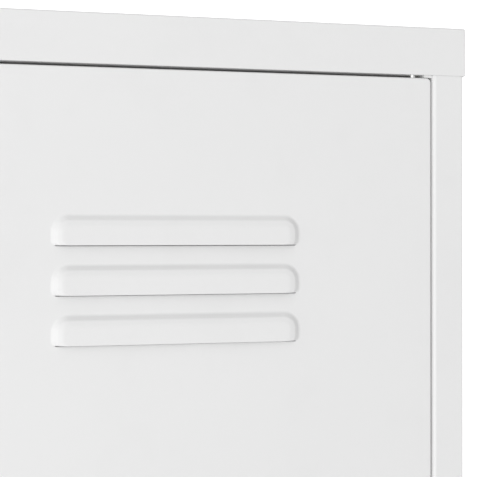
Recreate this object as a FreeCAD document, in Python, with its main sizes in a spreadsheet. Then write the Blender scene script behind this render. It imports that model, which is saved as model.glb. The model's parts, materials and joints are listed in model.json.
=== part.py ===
import FreeCAD, Part
import math
import os
import re
import Sketcher
from FreeCAD import Placement, Rotation, Vector

# Single-door steel locker cabinet, in millimetres. +Z is up, the door faces -Y, and the origin is on the
# floor, under the middle of the whole cabinet with its handle. Every sheet part is folded from thin steel.

SIZES = {
    # whole cabinet
    "cabinet_width": 380,
    "cabinet_depth": 450,
    "cabinet_height": 1800,
    "steel": 0.8,
    "fold_radius": 1.2,
    # cap
    "fascia_drop": 30.85,
    "return_end_play": 0.6,
    "cap_play": 0.1,
    "cap_front_lap": 1.0,
    # side panels
    "frame_width": 21.4,
    "jamb_radius": 3,
    "rear_flange": 18,
    "top_flange": 15,
    "flange_setback": 30,
    "weld_tab_length": 5.5,
    "weld_tab_setback": 1.2,
    "weld_tab_play": 0.3,
    # back panel
    "back_side_play": 1,
    "swage_width": 36,
    "swage_depth": 2.2,
    "swage_inset": 95,
    "swage_end_gap": 60,
    "wall_hole_radius": 4,
    "wall_hole_drop": 90,
    # base
    "foot_height": 15,
    "kick_height": 60,
    "kick_return": 20,
    "base_play": 0.7,
    "base_lap": 2,
    "base_flange": 34,
    # door
    "door_gap": 1.8,
    "door_side_gap": 1.0,
    "door_depth": 15,
    "hem_width": 12,
    "door_edge_radius": 1.2,
    "door_corner_radius": 3,
    "louver_count": 3,
    "louver_pitch": 30,
    "louver_length": 153.7,
    "louver_height": 18.3,
    "louver_proud": 3,
    "louver_slope": 4,
    "louver_bevel": 5,
    "louver_corner": 10,
    "louver_margin": 89.1,
    "louver_slit": 0.4,
    "louver_slit_end": 2.5,
    "stiffener_width": 50,
    "stiffener_flange": 12,
    "stiffener_end_gap": 45,
    # pivots
    "pin_radius": 2.0,
    "pin_play": 0.05,
    "pin_grip": 9,
    "pivot_inset": 11.1,
    "pivot_setback": 4.5,
    "bush_wall": 1.9,
    "bush_rim": 0.3,
    "bush_collar": 1.4,
    "washer_play": 0.1,
    "hinge_plate_thick": 2.5,
    "hinge_plate_length": 24,
    "hinge_plate_play": 0.5,
    # lock and lever
    "lock_height": 960,
    "lock_inset": 10.84,
    "rosette_radius": 21,
    "rosette_thick": 4,
    "barrel_radius": 10,
    "barrel_bore": 6,
    "barrel_play": 2,
    "lock_nut_radius": 15,
    "lock_nut_thick": 5,
    "backplate_width": 44,
    "backplate_height": 90,
    "backplate_thick": 1.5,
    "lever_gap": 1,
    "hub_radius": 13.5,
    "hub_depth": 15,
    "lever_length": 92,
    "lever_width": 18,
    "lever_thick": 8,
    "lever_edge": 2,
    "spindle_side": 8,
    "core_radius": 6,
    "core_length": 8,
    "key_slot_length": 7,
    "key_slot_width": 1.6,
    "key_slot_depth": 5,
    # latch and rods
    "cam_play": 1.2,
    "cam_thick": 2.5,
    "cam_rim": 1.5,
    "cam_screw_play": 0.76,
    "cam_screw_head": 3,
    "tongue_lap": 7,
    "tongue_width": 18,
    "crank_radius": 16,
    "crank_pin_radius": 3,
    "crank_head_rim": 1.6,
    "crank_head_thick": 1.2,
    "rod_thick": 3,
    "rod_play": 0.3,
    "rod_tip_setback": 1,
    "rod_end_margin": 8,
    "yoke_play": 0.7,
    "yoke_end_play": 0.46,
    "yoke_wall": 2.7,
    "guide_side_wall": 4.7,
    "guide_rear_wall": 2.3,
    "guide_height": 10,
    "guide_edge": 1,
    "keeper_wall": 4.2,
    "keeper_thick": 1.5,
    "keeper_slot_edge": 0.6,
    # door stop
    "stop_play": 1,
    "stop_leg": 10,
    "stop_end_gap": 6,
    "buffer_radius": 4.5,
    "buffer_play": 0.1,
    "buffer_spacing": 620,
    # shelf
    "shelf_drop": 320,
    "shelf_edge": 20,
    "shelf_side_play": 1,
    "shelf_setback": 22,
    "shelf_rear_gap": 4,
    "clip_width": 24,
    "clip_plate": 2,
    "clip_ledge": 14,
    "clip_ledge_thick": 2.5,
    "clip_height": 28,
    "clip_inset": 40,
    "peg_radius": 2.5,
    # hanging rail and hooks
    "rail_drop": 75,
    "rail_radius": 9.5,
    "rail_wall": 1.2,
    "socket_radius": 18,
    "socket_plate": 2.5,
    "socket_ring": 3,
    "socket_length": 12,
    "socket_play": 0.1,
    "socket_peg_offset": 13,
    "hook_count": 3,
    "hook_spacing": 80,
    "hook_play": 0.4,
    "hook_ring_wall": 2.6,
    "hook_width": 9,
    "hook_stem": 6,
    "hook_stem_length": 22,
    "hook_arc_radius": 16,
    "hook_arc_thick": 4,
    # fasteners and feet
    "screw_radius": 2.5,
    "screw_head_radius": 4.6,
    "screw_head_thick": 1.2,
    "screw_end": 1,
    "nut_radius": 4.6,
    "nut_thick": 3.2,
    "back_screw_rows": 4,
    "back_screw_end": 140,
    "foot_radius": 17,
    "foot_pad_thick": 8,
    "foot_travel": 15,
    "foot_collar_rim": 3.6,
    "foot_collar_play": 1,
    "stud_radius": 4,
    "stud_play": 0.05,
    "stud_hole_play": 0.5,
    "stud_spare": 8.2,
    "foot_nut_radius": 8,
    "foot_nut_thick": 7,
    "foot_inset": 26,
    "foot_side_inset": 19,
}

# how far a cutting shape runs past the surface that it cuts
PAST = 1

doc = FreeCAD.newDocument("locker_cabinet")
sheet = doc.addObject("Spreadsheet::Sheet", "Sizes")
for row, (alias, number) in enumerate(SIZES.items(), start=1):
    sheet.set(f"A{row}", alias)
    sheet.set(f"B{row}", str(number))
    sheet.setAlias(f"B{row}", alias)
doc.recompute()

pieces = []


def formula(words):
    """A formula written with the sizes' own names, as an expression on the sheet."""
    return re.sub(r"[a-z][a-z_]{3,}", lambda found: "Sizes." + found.group(0), words)


def value(words):
    """The number that a formula gives with the present sizes."""
    return float(sheet.evalExpression(formula(words)))


# Places and sizes that several parts share, as formulas. Y runs from the front of the cap to the back.
HALF_TURN_SHARE = math.sin(math.pi / 4)
CAP_FRONT = "(0 - (cabinet_depth + cap_front_lap - rosette_thick - lever_gap - hub_depth) / 2)"
FACE = f"({CAP_FRONT} + cap_front_lap)"
REAR = f"({CAP_FRONT} + cabinet_depth - fold_radius - cap_play)"
BACK_FACE = f"({REAR} - 2 * steel)"
CAP_UNDER = "(cabinet_height - steel)"
FASCIA_LOW = "(cabinet_height - fascia_drop)"
KICK_TOP = "(foot_height + kick_height)"
WALL_OUT = "(cabinet_width / 2 - fold_radius - cap_play)"
WALL_IN = f"({WALL_OUT} - steel)"
JAMB = f"({WALL_OUT} - frame_width)"
JAMB_REAR = f"({FACE} + door_depth + stop_play)"
DOOR_HALF = f"({JAMB} - door_side_gap)"
DOOR_LOW = f"({KICK_TOP} + door_gap)"
DOOR_HIGH = f"({FASCIA_LOW} - door_gap)"
PIVOT_X = f"({DOOR_HALF} - pivot_inset)"
PIVOT_Y = f"({FACE} + pivot_setback)"
LOCK_Z = "lock_height"
LEVER_FRONT = f"({FACE} - rosette_thick - lever_gap - hub_depth)"
CAM_FRONT = f"({JAMB_REAR} + steel + cam_play)"
CAM_REAR = f"({CAM_FRONT} + cam_thick)"
ROD_FRONT = f"({CAM_REAR} + rod_play)"
ROD_REAR = f"({ROD_FRONT} + rod_thick)"
CRANK_REAR = f"({ROD_REAR} + rod_play + crank_head_thick)"
THROW = f"(crank_radius * {HALF_TURN_SHARE:.8f})"
ROD_OFFSET = f"((crank_radius + {THROW}) / 2)"
YOKE_HALF = f"((crank_radius - {THROW}) / 2 + crank_pin_radius + yoke_end_play)"
ROD_WIDTH = f"(2 * ({YOKE_HALF} + yoke_wall))"
GUIDE_HALF = f"({ROD_WIDTH} / 2 + rod_play + guide_side_wall)"
# lock_inset is from the door's edge to the upper rod's guide
LOCK_X = f"(0 - {DOOR_HALF} + lock_inset + {GUIDE_HALF} + {ROD_OFFSET})"
KEEPER_REAR = f"({ROD_REAR} + rod_play + keeper_wall)"
BASE_FRONT = f"({KEEPER_REAR} + base_play)"
RETURN_EDGE = f"({BASE_FRONT} + base_lap)"
SHELF_TOP = "(cabinet_height - shelf_drop)"
SHELF_LOW = f"({SHELF_TOP} - shelf_edge)"
SHELF_FRONT = f"({CRANK_REAR} + shelf_setback)"
SHELF_REAR = f"({BACK_FACE} - shelf_rear_gap)"
RAIL_Z = f"({SHELF_TOP} - rail_drop)"
RAIL_Y = f"(({FACE} + {REAR}) / 2)"
SCREW_X = f"({WALL_OUT} - rear_flange / 2)"


def bind(thing, **formulas):
    """Binds properties, and the x, y and z of a place, to formulas."""
    places = {"x": "Placement.Base.x", "y": "Placement.Base.y", "z": "Placement.Base.z"}
    for name, words in formulas.items():
        thing.setExpression(places.get(name, name), formula(str(words)))


def box(name, low, size):
    """A box from its lowest corner and its size along X, Y and Z."""
    block = doc.addObject("Part::Box", name)
    bind(block, x=low[0], y=low[1], z=low[2], Length=size[0], Width=size[1], Height=size[2])
    return block


TURNS = {
    "X": Rotation(Vector(0, 1, 0), 90),
    "Y": Rotation(Vector(1, 0, 0), -90),
    "Z": Rotation(),
}


def drum(name, centre, radius, length, axis="Z"):
    """A cylinder that starts at centre and runs along +X, +Y or +Z."""
    round_bar = doc.addObject("Part::Cylinder", name)
    round_bar.Placement = Placement(Vector(), TURNS[axis])
    bind(round_bar, x=centre[0], y=centre[1], z=centre[2], Radius=radius, Height=length)
    return round_bar


def hexagon(name, centre, radius, length, axis="Z"):
    """A six-sided bar, for nuts."""
    bar = doc.addObject("Part::Prism", name)
    bar.Polygon = 6
    bar.Placement = Placement(Vector(), TURNS[axis])
    bind(bar, x=centre[0], y=centre[1], z=centre[2], Circumradius=radius, Height=length)
    return bar


def fuse(name, *parts):
    """One solid from several that touch or overlap."""
    whole = doc.addObject("Part::MultiFuse", name)
    whole.Shapes = list(parts)
    whole.Refine = True
    return whole


cuts = []


def cut(name, base, *tools):
    """The base with the tools taken out of it, remembered so that an empty cut is caught."""
    less = doc.addObject("Part::Cut", name)
    less.Base = base
    less.Tool = tools[0] if len(tools) == 1 else fuse(name + "_tools", *tools)
    cuts.append(less)
    return less


def group(name, parts):
    """Like fasteners as one node of separate solids."""
    together = doc.addObject("Part::Compound", name)
    together.Links = list(parts)
    return together


def edges_of(shape, wanted):
    """The numbers of the straight edges whose lowest and highest ends satisfy wanted."""
    numbers = []
    for number, edge in enumerate(shape.Edges, start=1):
        if len(edge.Vertexes) == 2 and wanted(edge.Vertexes[0].Point, edge.Vertexes[1].Point):
            numbers.append(number)
    return numbers


def rounded(name, base, radius, wanted):
    """The base with the wanted edges rounded to a radius formula."""
    doc.recompute()
    soft = doc.addObject("Part::Fillet", name)
    soft.Base = base
    size = value(radius)
    soft.Edges = [(number, size, size) for number in edges_of(base.Shape, wanted)]
    return soft


def near(first, second):
    return abs(first - second) < 1e-4


def finished(shape, label):
    """Names a finished piece."""
    shape.Label = label
    pieces.append(shape)
    return shape


def folded(name, plane, outline, start, length, folds):
    """A sheet folded to an outline in a plane and run along the plane's normal from start.

    The outline is a list of formula pairs round the sheet's section. folds lists (radius, corners),
    each corner a formula pair, for the bends that are rounded.
    """
    body = doc.addObject("PartDesign::Body", name)
    sketch = body.newObject("Sketcher::SketchObject", name + "_section")
    origin_plane = next(f for f in body.Origin.OriginFeatures if f.Role == plane + "_Plane")
    sketch.AttachmentSupport = (origin_plane, [""])
    sketch.MapMode = "FlatFace"
    numbers = [(value(across), value(along)) for across, along in outline]
    last = len(outline)
    for spot in range(last):
        here, there = numbers[spot], numbers[(spot + 1) % last]
        sketch.addGeometry(Part.LineSegment(Vector(*here, 0), Vector(*there, 0)), False)
    for spot in range(last):
        sketch.addConstraint(Sketcher.Constraint("Coincident", spot, 2, (spot + 1) % last, 1))
    for spot in range(last):
        for kind, number, words in zip(("DistanceX", "DistanceY"), numbers[spot], outline[spot]):
            rule = sketch.addConstraint(Sketcher.Constraint(kind, -1, 1, spot, 1, number))
            sketch.setExpression(f"Constraints[{rule}]", formula(words))
    pad = body.newObject("PartDesign::Pad", name + "_run")
    pad.Profile = sketch
    pad.setExpression("Length", formula(length))
    pad.Reversed = plane == "XZ"
    bind(body, **{{"XY": "z", "XZ": "y", "YZ": "x"}[plane]: start})
    doc.recompute()
    # the two coordinates of a point that lie in the section's plane
    flat = {"XY": (0, 1), "XZ": (0, 2), "YZ": (1, 2)}[plane]
    feature = pad
    for turn, (radius, corners) in enumerate(folds):
        spots = [(value(across), value(along)) for across, along in corners]

        def on_fold(low, high):
            same = near(low[flat[0]], high[flat[0]]) and near(low[flat[1]], high[flat[1]])
            return same and any(near(low[flat[0]], u) and near(low[flat[1]], v) for u, v in spots)

        bend = body.newObject("PartDesign::Fillet", f"{name}_fold{turn}")
        bend.Base = (feature, [f"Edge{number}" for number in edges_of(feature.Shape, on_fold)])
        bend.setExpression("Radius", formula(radius))
        doc.recompute()
        feature = bend
    body.Tip = feature
    return body


def tray(name, low, size, wall, radius, open_side):
    """An open box of folded sheet. open_side is -1 for open below and 1 for open above."""
    outer = box(name + "_outer", low, size)
    inner_low = [f"{low[0]} + {wall}", f"{low[1]} + {wall}",
                 low[2] if open_side < 0 else f"{low[2]} + {wall}"]
    inner_size = [f"{size[0]} - 2 * {wall}", f"{size[1]} - 2 * {wall}", f"{size[2]} - {wall}"]
    inner = box(name + "_inner", inner_low, inner_size)
    closed = value(low[2]) if open_side > 0 else value(f"{low[2]} + {size[2]}")
    inner_closed = closed + open_side * value(wall)

    def bends(level):
        def wanted(first, second):
            upright = near(first.x, second.x) and near(first.y, second.y)
            return upright or (near(first.z, level) and near(second.z, level))
        return wanted

    outside = rounded(name + "_outside", outer, radius, bends(closed))
    inside = rounded(name + "_inside", inner, f"{radius} - {wall}", bends(inner_closed))
    return cut(name + "_tray", outside, inside)


def hole(name, centre, radius, thick, axis):
    """A cutting cylinder that runs past both faces of a sheet that starts at centre."""
    place = list(centre)
    spot = "XYZ".index(axis)
    place[spot] = f"{place[spot]} - {PAST}"
    return drum(name, place, radius, f"{thick} + 2 * {PAST}", axis)


def rod_slot(name, centre_x, low_z, height, edge):
    """A cutting box for a locking rod's way through a sheet, larger all round by its play and an edge."""
    return box(name,
               [f"{centre_x} - {ROD_WIDTH} / 2 - rod_play - {edge}", f"{ROD_FRONT} - rod_play - {edge}",
                f"{low_z} - {PAST}"],
               [f"{ROD_WIDTH} + 2 * rod_play + 2 * {edge}", f"rod_thick + 2 * rod_play + 2 * {edge}",
                f"{height} + 2 * {PAST}"])


def from_wall(sign, inner, deep):
    """The low X of a block that stands inward from a side wall's face to a depth."""
    return f"{inner} - {deep}" if sign > 0 else f"0 - {inner}"


def make_top_cap():
    """The cap: an inverted tray over the panels, its fascia folded back under at the front."""
    low = ["0 - cabinet_width / 2", CAP_FRONT, FASCIA_LOW]
    size = ["cabinet_width", "cabinet_depth", "fascia_drop"]
    lid = tray("cap", low, size, "steel", "fold_radius", -1)
    shelf = box("cap_return", [f"0 - {JAMB} + return_end_play", CAP_FRONT, FASCIA_LOW],
                [f"2 * ({JAMB} - return_end_play)", f"{RETURN_EDGE} - {CAP_FRONT}", "steel"])

    def lip(first, second):
        return all(near(end.y, value(CAP_FRONT)) and near(end.z, value(FASCIA_LOW)) for end in (first,
                                                                                                second))

    whole = fuse("cap_whole", lid, rounded("cap_return_bent", shelf, "steel * 0.9", lip))
    holes = [
        hole("cap_bush_hole", [PIVOT_X, PIVOT_Y, FASCIA_LOW], "pin_radius + bush_wall", "steel", "Z"),
        rod_slot("cap_rod_slot", f"({LOCK_X} - {ROD_OFFSET})", FASCIA_LOW, "steel", "keeper_slot_edge"),
    ]
    finished(cut("cap_cut", whole, *holes), "top_cap")


def clip_spots():
    """Where the shelf clips' pegs go through each side panel, as (y, z)."""
    height = f"({SHELF_LOW} - clip_ledge_thick - clip_height / 4)"
    return [(f"({SHELF_FRONT} + clip_inset)", height), (f"({SHELF_REAR} - clip_inset)", height)]


def socket_peg_heights():
    """The heights of a rail socket's two pegs."""
    return [f"({RAIL_Z} - socket_peg_offset)", f"({RAIL_Z} + socket_peg_offset)"]


def back_screw_heights():
    """The heights of the screws that hold the back panel."""
    rows = int(value("back_screw_rows"))
    low = "(foot_height + back_screw_end)"
    step = f"((cabinet_height - foot_height - 2 * back_screw_end) / {rows - 1})"
    return [f"({low} + {row} * {step})" for row in range(rows)]


def make_side_panel(side, sign):
    """A side panel: outer wall, front frame strip and jamb folded from one sheet, with a rear flange."""
    wall_out, wall_in = f"{sign} * {WALL_OUT}", f"{sign} * {WALL_IN}"
    jamb, jamb_back = f"{sign} * {JAMB}", f"{sign} * ({JAMB} + steel)"
    flange_edge = f"{sign} * ({WALL_OUT} - rear_flange)"
    strip_back, flange_front = f"{FACE} + steel", f"{REAR} - steel"
    outline = [
        (wall_out, FACE), (jamb, FACE), (jamb, JAMB_REAR), (jamb_back, JAMB_REAR), (jamb_back, strip_back),
        (wall_in, strip_back), (wall_in, flange_front), (flange_edge, flange_front), (flange_edge, REAR),
        (wall_out, REAR),
    ]
    folds = [
        ("jamb_radius", [(jamb, FACE)]),
        ("jamb_radius - steel", [(jamb_back, strip_back)]),
        ("fold_radius", [(wall_out, FACE), (wall_out, REAR)]),
        ("fold_radius - steel", [(wall_in, strip_back), (wall_in, flange_front)]),
    ]
    wall = folded(f"{side}_wall", "XY", outline, "foot_height", f"{CAP_UNDER} - foot_height", folds)
    flange = box(f"{side}_top_flange",
                 [from_wall(sign, WALL_IN, "top_flange"), f"{FACE} + flange_setback",
                  f"{CAP_UNDER} - steel"],
                 ["top_flange", f"{REAR} - {FACE} - 2 * flange_setback", "steel"])
    solids = [wall, flange]
    if side == "right":
        # a thick tab by the upper pivot, above the door's corner, is welded to the jamb and the cap's return
        tab_thick = "(door_gap - weld_tab_play)"
        solids.append(box("right_weld_tab",
                          [f"{JAMB} - weld_tab_length", f"{FACE} + weld_tab_setback",
                           f"{FASCIA_LOW} - {tab_thick}"],
                          ["weld_tab_length + steel", f"{JAMB_REAR} - {FACE} - weld_tab_setback",
                           tab_thick]))
    wall_low = from_wall(sign, WALL_OUT, "steel")
    holes = [hole(f"{side}_clip_hole{number}", [wall_low, y, z], "peg_radius", "steel", "X")
             for number, (y, z) in enumerate(clip_spots())]
    holes += [hole(f"{side}_socket_hole{number}", [wall_low, RAIL_Y, z], "peg_radius", "steel", "X")
              for number, z in enumerate(socket_peg_heights())]
    holes += [hole(f"{side}_screw_hole{row}", [f"{sign} * {SCREW_X}", flange_front, z], "screw_radius",
                   "steel", "Y")
              for row, z in enumerate(back_screw_heights())]
    # the frame strip and jamb stop a fold short of the cap's underside
    strip_low = JAMB if sign > 0 else f"0 - {WALL_OUT}"
    holes.append(box(f"{side}_strip_relief",
                     [f"{strip_low} - {PAST}", f"{FACE} - {PAST}", f"{CAP_UNDER} - fold_radius"],
                     [f"frame_width + 2 * {PAST}", f"{JAMB_REAR} - {FACE} + 2 * {PAST}",
                      f"fold_radius + {PAST}"]))
    finished(cut(f"{side}_cut", fuse(f"{side}_whole", *solids), *holes), f"{side}_side_panel")


def make_back_panel():
    """The back: a flat sheet stiffened by two swages pressed rearwards, with a wall-fixing hole in each."""
    half = f"({WALL_IN} - back_side_play)"
    flat = box("back_sheet", [f"0 - {half}", BACK_FACE, "foot_height"],
               [f"2 * {half}", "steel", f"{CAP_UNDER} - foot_height"])
    low = "(foot_height + swage_end_gap)"
    tall = f"({CAP_UNDER} - foot_height - 2 * swage_end_gap)"
    ribs = []
    openings = []
    for side, sign in (("left", -1), ("right", 1)):
        edge = f"({sign} * swage_inset - swage_width / 2)"
        ribs.append(box(f"back_rib_{side}", [edge, BACK_FACE, low],
                        ["swage_width", "steel + swage_depth", tall]))
        openings.append(box(f"back_channel_{side}",
                            [f"{edge} + steel", f"{BACK_FACE} - {PAST}", f"{low} + steel"],
                            ["swage_width - 2 * steel", f"swage_depth + {PAST}", f"{tall} - 2 * steel"]))
        openings.append(hole(f"back_wall_hole_{side}",
                             [f"{sign} * swage_inset", f"{BACK_FACE} + swage_depth",
                              "cabinet_height - wall_hole_drop"],
                             "wall_hole_radius", "steel", "Y"))
        openings += [hole(f"back_screw_hole_{side}{row}", [f"{sign} * {SCREW_X}", BACK_FACE, z],
                          "screw_radius", "steel", "Y") for row, z in enumerate(back_screw_heights())]
    finished(cut("back_cut", fuse("back_whole", flat, *ribs), *openings), "back_panel")


def make_back_fasteners():
    """Flat-headed screws through the rear flanges and the back panel, with a nut on each inside."""
    screws = []
    nuts = []
    for side, sign in (("left", -1), ("right", 1)):
        x = f"{sign} * {SCREW_X}"
        for row, z in enumerate(back_screw_heights()):
            name = f"back_screw_{side}{row}"
            length = "(2 * steel + nut_thick + screw_end)"
            shank = drum(name + "_shank", [x, f"{REAR} - {length}", z], "screw_radius", length, "Y")
            head = drum(name + "_head", [x, REAR, z], "screw_head_radius", "screw_head_thick", "Y")
            key = hexagon(name + "_key", [x, f"{REAR} + screw_head_thick / 2", z], "screw_radius * 0.7",
                          "screw_head_thick", "Y")
            screws.append(cut(name, fuse(name + "_solid", shank, head), key))
            name = f"back_nut_{side}{row}"
            nut = hexagon(name + "_hexagon", [x, f"{BACK_FACE} - nut_thick", z], "nut_radius", "nut_thick",
                          "Y")
            bore = hole(name + "_bore", [x, f"{BACK_FACE} - nut_thick", z], "screw_radius", "nut_thick",
                        "Y")
            nuts.append(cut(name, nut, bore))
    finished(group("back_screws", screws), "back_panel_screws")
    finished(group("back_nuts", nuts), "back_panel_nuts")


def make_kick_plate():
    """The kick plate: a channel between the jambs, with the door's lower pivot in its upper flange."""
    inside = f"{FACE} + steel"
    low, high = "foot_height", KICK_TOP
    low_in, high_in = f"{low} + steel", f"{high} - steel"
    lower_edge = f"{FACE} + kick_return"
    outline = [
        (FACE, low), (lower_edge, low), (lower_edge, low_in), (inside, low_in), (inside, high_in),
        (RETURN_EDGE, high_in), (RETURN_EDGE, high), (FACE, high),
    ]
    folds = [
        ("fold_radius", [(FACE, low), (FACE, high)]),
        ("fold_radius - steel", [(inside, low_in), (inside, high_in)]),
    ]
    channel = folded("kick", "YZ", outline, f"0 - {JAMB}", f"2 * {JAMB}", folds)
    holes = [
        hole("kick_bush_hole", [PIVOT_X, PIVOT_Y, high_in], "pin_radius + bush_wall", "steel", "Z"),
        rod_slot("kick_rod_slot", f"({LOCK_X} + {ROD_OFFSET})", f"({high_in})", "steel",
                 "keeper_slot_edge"),
    ]
    finished(cut("kick_cut", channel, *holes), "kick_plate")


def foot_spots():
    """The four feet, as (name, x, y)."""
    spots = []
    for end, y in (("front", f"({BASE_FRONT} + foot_inset)"), ("rear", f"({BACK_FACE} - foot_inset)")):
        for side, sign in (("left", -1), ("right", 1)):
            spots.append((f"{end}_{side}", f"({sign} * ({WALL_IN} - foot_side_inset))", y))
    return spots


def make_base_tray():
    """The floor of the compartment, its sides folded down and in to carry the feet."""
    low, low_in = "foot_height", "foot_height + steel"
    top, top_in = f"{KICK_TOP} - steel", f"{KICK_TOP} - 2 * steel"
    outline = []
    inner = []
    for sign in (-1, 1):
        wall, wall_back = f"{sign} * {WALL_IN}", f"{sign} * ({WALL_IN} - steel)"
        edge = f"{sign} * ({WALL_IN} - base_flange)"
        outer_run = [(edge, low_in), (edge, low), (wall, low), (wall, top)]
        inner_run = [(wall_back, top_in), (wall_back, low_in)]
        outline += outer_run if sign < 0 else list(reversed(outer_run))
        inner = inner_run + inner if sign < 0 else list(reversed(inner_run)) + inner
    folds = [
        ("fold_radius", [(f"{sign} * {WALL_IN}", level) for sign in (-1, 1) for level in (low, top)]),
        ("fold_radius - steel", inner),
    ]
    floor = folded("base", "XZ", outline + inner, BASE_FRONT, f"{BACK_FACE} - {BASE_FRONT}", folds)
    holes = [hole(f"base_stud_hole_{name}", [x, y, "foot_height"], "stud_radius + stud_hole_play", "steel",
                  "Z")
             for name, x, y in foot_spots()]
    finished(cut("base_cut", floor, *holes), "base_tray")


def softened(name, base, size, wanted):
    """The base with a small chamfer on the wanted edges."""
    doc.recompute()
    soft = doc.addObject("Part::Chamfer", name)
    soft.Base = base
    width = value(size)
    soft.Edges = [(number, width, width) for number,
                  edge in enumerate(base.Shape.Edges, start=1) if wanted(edge)]
    return soft


def make_feet():
    """Four screwed levelling feet, and the clinch nuts in the base that their studs turn in."""
    nuts = []
    for name, x, y in foot_spots():
        blank = drum(f"foot_blank_{name}", [x, y, "0"], "foot_radius", "foot_pad_thick")
        pad = softened(f"foot_pad_{name}", blank, "foot_pad_thick / 4",
                       lambda edge: len(edge.Vertexes) == 1)
        collar = hexagon(f"foot_collar_{name}", [x, y, "foot_pad_thick"], "stud_radius + foot_collar_rim",
                         "foot_height - foot_pad_thick - foot_collar_play")
        stud_length = ("(foot_height + steel + foot_nut_thick + foot_travel + stud_spare"
                       " - foot_pad_thick / 2)")
        stud = drum(f"foot_stud_{name}", [x, y, "foot_pad_thick / 2"], "stud_radius", stud_length)
        finished(fuse(f"foot_{name}", pad, collar, stud), f"levelling_foot_{name}")
        nut = hexagon(f"foot_nut_hexagon_{name}", [x, y, "foot_height + steel"], "foot_nut_radius",
                      "foot_nut_thick")
        bore = hole(f"foot_nut_bore_{name}", [x, y, "foot_height + steel"], "stud_radius + stud_play",
                    "foot_nut_thick", "Z")
        nuts.append(cut(f"foot_nut_{name}", nut, bore))
    finished(group("foot_nut_group", nuts), "foot_nuts")


def louver_lips():
    """The heights of all the louvers' lower lips: the upper group is as far from the door's top as the
    lower group is from its bottom."""
    count = int(value("louver_count"))
    upper = [f"({DOOR_HIGH} - louver_margin - louver_height - {row} * louver_pitch)"
             for row in range(count)]
    lower = [f"({DOOR_LOW} + louver_margin + {row} * louver_pitch)" for row in range(count)]
    return upper + lower


def louver_form(name, lip, inset):
    """A louver's raised form: sloped at its top and ends, square at its lip, rounded at its top corners."""
    half = f"(louver_length / 2 - {inset})"
    wedge = doc.addObject("Part::Wedge", name)
    # the wedge narrows along its own Y, which is turned to point out of the door
    wedge.Placement = Placement(Vector(), Rotation(Vector(1, 0, 0), Vector(0, -1, 0), Vector(0, 0, -1)))
    bind(wedge, Xmin=f"0 - {half}", Xmax=half, X2min=f"0 - {half} + louver_bevel",
         X2max=f"{half} - louver_bevel",
         Ymin=0, Ymax=f"louver_proud - {inset} + steel", Zmin=f"{inset} - louver_height", Zmax=0,
         Z2min=f"{inset} - louver_height + louver_slope", Z2max=0, y=f"{FACE} + steel", z=lip)

    def top_corner(first, second):
        slanted = not near(first.x, second.x) and not near(first.y, second.y)
        return slanted and min(first.z, second.z) > value(lip) + PAST

    return rounded(name + "_rounded", wedge, f"louver_corner - {inset}", top_corner)


def make_door_panel():
    """The door: a pan folded back on four sides with hems turned in, and louvers pressed outwards."""
    low = [f"(0 - {DOOR_HALF})", FACE, DOOR_LOW]
    size = [f"2 * {DOOR_HALF}", "door_depth", f"({DOOR_HIGH} - {DOOR_LOW})"]
    outer = box("door_outer", low, size)
    inner = box("door_inner", [f"{place} + steel" for place in low],
                [f"{length} - 2 * steel" for length in size])
    window = box("door_window",
                 [f"{low[0]} + hem_width", f"{FACE} + door_depth - steel - {PAST}",
                  f"{DOOR_LOW} + hem_width"],
                 [f"{size[0]} - 2 * hem_width", f"steel + 2 * {PAST}", f"{size[2]} - 2 * hem_width"])

    def corner(first, second):
        return near(first.x, second.x) and near(first.z, second.z)

    def front_edge(level):
        return lambda first, second: near(first.y, level) and near(second.y, level)

    pan = []
    for name, block, level, thinner in (("outside", outer, FACE, "0"),
                                        ("inside", inner, f"{FACE} + steel", "steel")):
        pillar = rounded(f"door_{name}_corners", block, f"door_corner_radius - {thinner}", corner)
        pan.append(rounded(f"door_{name}", pillar, f"door_edge_radius - {thinner}",
                           front_edge(value(level))))
    outside, inside = pan
    lips = louver_lips()
    raised = [louver_form(f"louver_outside{number}", lip, "0") for number, lip in enumerate(lips)]
    hollows = [louver_form(f"louver_inside{number}", lip, "steel") for number, lip in enumerate(lips)]
    holes = [inside, window, *hollows]
    holes += [box(f"louver_slit{number}",
                  ["0 - louver_length / 2 + louver_slit_end", f"{FACE} - louver_proud - {PAST}",
                   f"{lip} - louver_slit"],
                  ["louver_length - 2 * louver_slit_end", f"louver_proud + steel + 2 * {PAST}",
                   "louver_slit"])
              for number, lip in enumerate(lips)]
    holes.append(hole("door_lock_hole", [LOCK_X, FACE, LOCK_Z], "barrel_radius", "steel", "Y"))
    for end, level in (("top", f"{DOOR_HIGH} - steel"), ("bottom", DOOR_LOW)):
        holes.append(hole(f"door_pin_hole_{end}", [PIVOT_X, PIVOT_Y, level], "pin_radius", "steel", "Z"))
    finished(cut("door_cut", fuse("door_raised", outside, *raised), *holes), "door_panel")


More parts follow.
